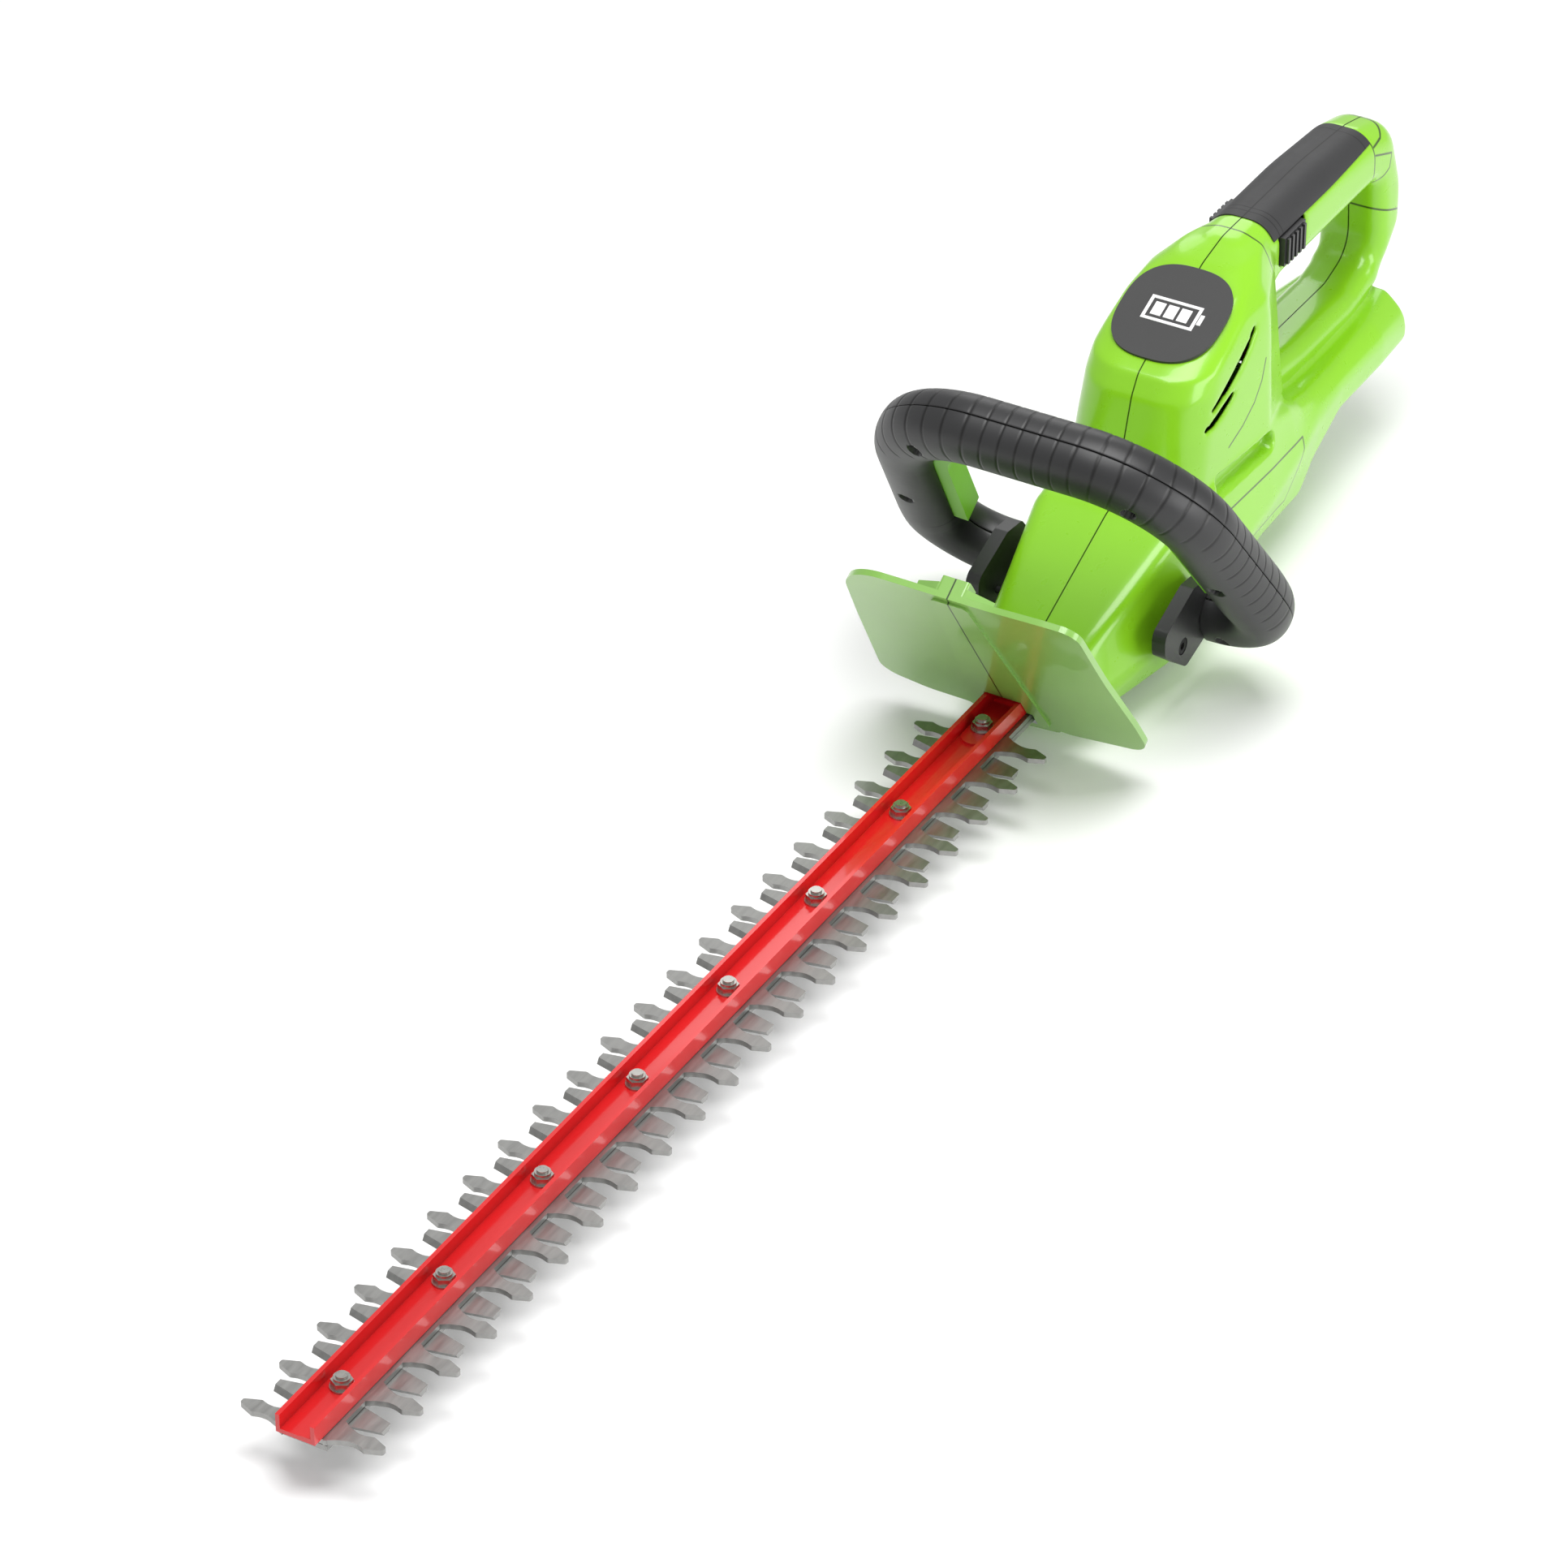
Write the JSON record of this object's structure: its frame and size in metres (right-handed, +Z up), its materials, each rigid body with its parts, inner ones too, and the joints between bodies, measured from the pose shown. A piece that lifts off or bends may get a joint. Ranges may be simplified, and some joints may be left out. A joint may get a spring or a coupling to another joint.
{
  "type": "cordless hedge trimmer",
  "caption": "Cordless hedge trimmer: double-action toothed blade under a red guide bar, upright hand guard, looped front handle with switch bar, motor housing and D-shaped rear handle.",
  "frame": {"origin": "centre of the bounding box's underside, with the tool upright and its blade level", "axes": "+X forward along the blade to its tip, +Y to the user's left, +Z up"},
  "size_m": [0.9441, 0.1968, 0.1641],
  "materials": {
    "blade_steel": "ground steel, faint lengthwise grain",
    "bar_red": "red enamel, satin",
    "zinc_steel": "bright zinc",
    "hard_steel": "machined, oiled",
    "cast_alloy": "die cast",
    "bronze": "sintered",
    "motor_steel": "plated",
    "black_nylon": "moulded, matt",
    "lime_gloss": "glossy moulded lime green",
    "lime_guard": "glossy moulded pale lime",
    "lime_bar": "satin moulded lime green",
    "charcoal_plastic": "fine-grained charcoal",
    "charcoal_badge": "matt charcoal",
    "grip_rubber": "soft ribbed charcoal",
    "board_green": "solder resist",
    "lead_red": "insulation"
  },
  "bodies": {
    "tool": {"guide_channel": "bar_red", "bar_bolts": "zinc_steel", "bar_lower_washers": "zinc_steel", "bar_sleeves": "zinc_steel", "bar_washers": "zinc_steel", "bar_nuts": "zinc_steel", "bar_mount_screws": "zinc_steel", "gear_case": "cast_alloy", "gear_cover": "cast_alloy", "case_screws": "zinc_steel", "upper_bearing": "hard_steel", "lower_bush": "bronze", "motor_can": "motor_steel", "motor_magnets": "motor_steel", "motor_end_cap": "black_nylon", "motor_bushes": "bronze", "motor_brushes": "black_nylon", "motor_screws": "zinc_steel", "housing_left": "lime_gloss", "housing_right": "lime_gloss", "housing_screws": "zinc_steel", "hand_guard_left": "lime_guard", "hand_guard_right": "lime_guard", "badge_plate": "charcoal_badge", "rear_grip": "grip_rubber", "trigger_pin": "zinc_steel", "trigger_spring": "zinc_steel", "lock_off_spring": "zinc_steel", "main_switch": "black_nylon", "control_board": "board_green", "terminal_block": "black_nylon", "battery_contacts": "bronze", "internal_leads": "lead_red", "front_handle_front": "charcoal_plastic", "front_handle_rear": "charcoal_plastic", "front_handle_screws": "zinc_steel", "switch_bar_springs": "zinc_steel", "front_switch": "black_nylon", "handle_bracket_left": "charcoal_plastic", "handle_bracket_right": "charcoal_plastic", "bracket_screws": "zinc_steel"},
    "crank": {"drive_gear": "hard_steel", "crank_shaft": "hard_steel", "upper_cam": "hard_steel", "lower_cam": "hard_steel"},
    "rotor": {"motor_rotor": "motor_steel", "pinion": "hard_steel", "motor_fan": "black_nylon"},
    "upper_blade": {"upper_blade": "blade_steel"},
    "lower_blade": {"lower_blade": "blade_steel"},
    "trigger": {"trigger": "charcoal_plastic"},
    "lock_off": {"lock_off_button": "charcoal_plastic"},
    "switch_bar": {"switch_bar": "lime_bar"}
  },
  "joints": [
    {"name": "crank_turn", "type": "hinge", "parent": "tool", "child": "crank", "pos_m": [-0.20272, 0, 0.02], "axis": [0, 0, 1], "range_deg": [0, 180]},
    {"name": "rotor_spin", "type": "hinge", "parent": "tool", "child": "rotor", "pos_m": [-0.23972, 0, 0.02], "axis": [0, 0, 1], "range_deg": [-1152, 0]},
    {"name": "upper_blade_slide", "type": "slide", "parent": "tool", "child": "upper_blade", "axis": [1, 0, 0], "range_m": [0, 0.0135]},
    {"name": "lower_blade_slide", "type": "slide", "parent": "tool", "child": "lower_blade", "axis": [1, 0, 0], "range_m": [-0.0135, 0]},
    {"name": "trigger_pull", "type": "hinge", "parent": "tool", "child": "trigger", "pos_m": [-0.42472, 0, 0.1415], "axis": [0, -1, 0], "range_deg": [0, 4], "stiffness_Nm_per_rad": 1, "springref_deg": -8.59, "deforming": ["trigger_spring"]},
    {"name": "lock_off_slide", "type": "slide", "parent": "tool", "child": "lock_off", "axis": [1, 0, 0], "range_m": [-0.004, 0], "stiffness_N_per_m": 200, "springref_m": 0.005, "deforming": ["lock_off_spring"]},
    {"name": "switch_bar_squeeze", "type": "slide", "parent": "tool", "child": "switch_bar", "axis": [0.5821, 0, 0.8131], "range_m": [0, 0.004], "stiffness_N_per_m": 500, "springref_m": -0.01, "deforming": ["switch_bar_springs"]}
  ],
  "couplings": [
    {"joint": "rotor_spin", "follows": "crank_turn", "ratio": -6.4},
    {"joint": "upper_blade_slide", "follows": "crank_turn", "m_per_rad": 0.0042972},
    {"joint": "lower_blade_slide", "follows": "crank_turn", "m_per_rad": -0.0042972}
  ]
}
